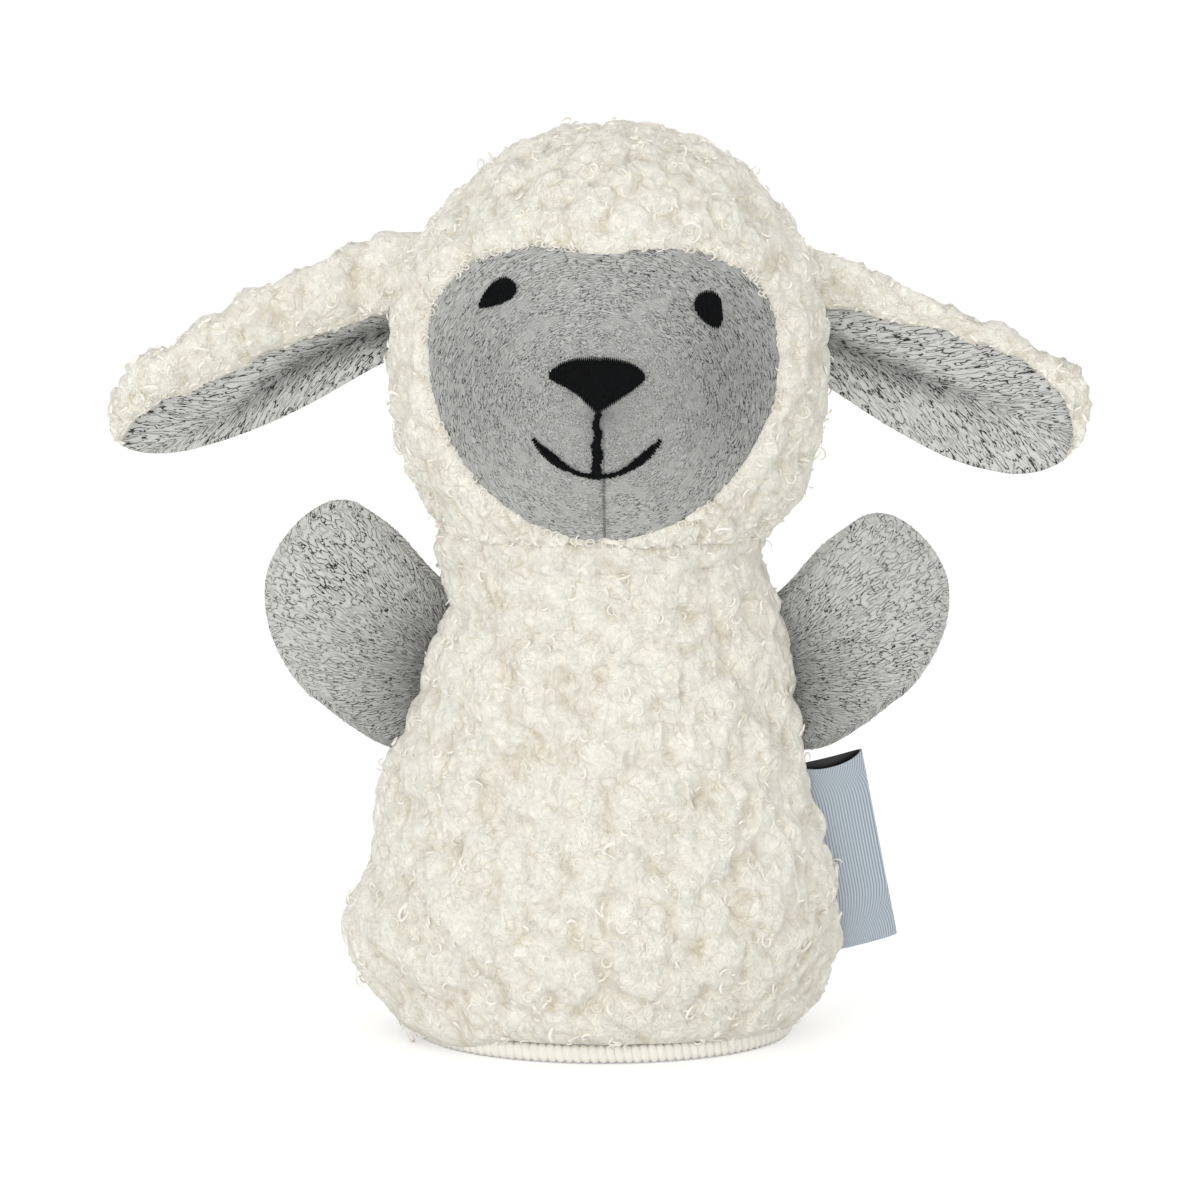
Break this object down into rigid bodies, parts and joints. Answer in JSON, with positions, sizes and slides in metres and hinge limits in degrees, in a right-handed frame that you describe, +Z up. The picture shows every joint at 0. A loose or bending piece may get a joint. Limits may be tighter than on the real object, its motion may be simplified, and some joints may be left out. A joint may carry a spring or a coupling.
{
  "type": "sheep finger puppet",
  "caption": "Soft lamb puppet: a curly sleeve open at the hem, a stuffed head with a finger pocket, drooping ears and padded paws.",
  "frame": {"origin": "on the floor under the middle of the box round the whole puppet", "axes": "+Z up, the face looks along -Y, +X to the right of someone who looks at the face"},
  "size_m": [0.1492, 0.062, 0.1385],
  "materials": {
    "boucle": "curly off-white pile, matt",
    "velboa": "short brushed grey pile",
    "embroidery": "black satin stitch",
    "overlock_thread": "cream overlock stitches",
    "ribbon": "silver-blue woven ribbon, slight gloss",
    "tricot": "thin knitted lining",
    "filling": "loose polyester fibre"
  },
  "bodies": {
    "sleeve": {"hem_overlock_thread": "overlock_thread", "body_front_panel": "boucle", "body_back_panel": "boucle"},
    "neck": {"neck_gather": "boucle"},
    "pocket": {"finger_pocket": "tricot"},
    "head": {"head_filling": "filling", "head_hood_front": "boucle", "head_back_panel": "boucle", "face_panel": "velboa", "left_eye": "embroidery", "right_eye": "embroidery", "nose": "embroidery", "mouth": "embroidery"},
    "left_ear": {"left_ear_back": "boucle", "left_ear_lining": "velboa"},
    "right_ear": {"right_ear_back": "boucle", "right_ear_lining": "velboa"},
    "left_paw": {"left_paw_front_panel": "velboa", "left_paw_back_panel": "velboa", "left_paw_filling": "filling"},
    "right_paw": {"right_paw_front_panel": "velboa", "right_paw_back_panel": "velboa", "right_paw_filling": "filling"},
    "label": {"side_label": "ribbon"}
  },
  "joints": [
    {"name": "head_nod", "type": "hinge", "parent": "sleeve", "child": "neck", "pos_m": [0.00006, 0.00199, 0.0732], "axis": [1, 0, 0], "range_deg": [-20, 20], "stiffness_Nm_per_rad": 0.1, "deforming": ["neck_gather"]},
    {"name": "head_tilt", "type": "hinge", "parent": "neck", "child": "pocket", "pos_m": [0.00006, 0.00199, 0.0732], "axis": [0, 1, 0], "range_deg": [-10, 10], "stiffness_Nm_per_rad": 0.1},
    {"name": "head_turn", "type": "hinge", "parent": "pocket", "child": "head", "pos_m": [0.00006, 0.00199, 0.0732], "axis": [0, 0, 1], "range_deg": [-30, 30], "stiffness_Nm_per_rad": 0.05},
    {"name": "left_ear_flap", "type": "hinge", "parent": "head", "child": "left_ear", "pos_m": [-0.03467, 0.00199, 0.11284], "axis": [0.1666, 0, 0.986], "range_deg": [-35, 35], "stiffness_Nm_per_rad": 0.002},
    {"name": "right_ear_flap", "type": "hinge", "parent": "head", "child": "right_ear", "pos_m": [0.0348, 0.00199, 0.11284], "axis": [-0.1666, 0, 0.986], "range_deg": [-35, 35], "stiffness_Nm_per_rad": 0.002},
    {"name": "left_paw_swing", "type": "hinge", "parent": "sleeve", "child": "left_paw", "pos_m": [-0.02941, 0.00199, 0.05676], "axis": [0.2313, 0, 0.9729], "range_deg": [-45, 45], "stiffness_Nm_per_rad": 0.005},
    {"name": "right_paw_swing", "type": "hinge", "parent": "sleeve", "child": "right_paw", "pos_m": [0.02953, 0.00199, 0.05676], "axis": [-0.2313, 0, 0.9729], "range_deg": [-45, 45], "stiffness_Nm_per_rad": 0.005},
    {"name": "label_flap", "type": "hinge", "parent": "sleeve", "child": "label", "pos_m": [0.03782, 0.00199, 0.014], "axis": [-0.1911, 0, 0.9816], "range_deg": [-35, 35], "stiffness_Nm_per_rad": 0.00005}
  ]
}
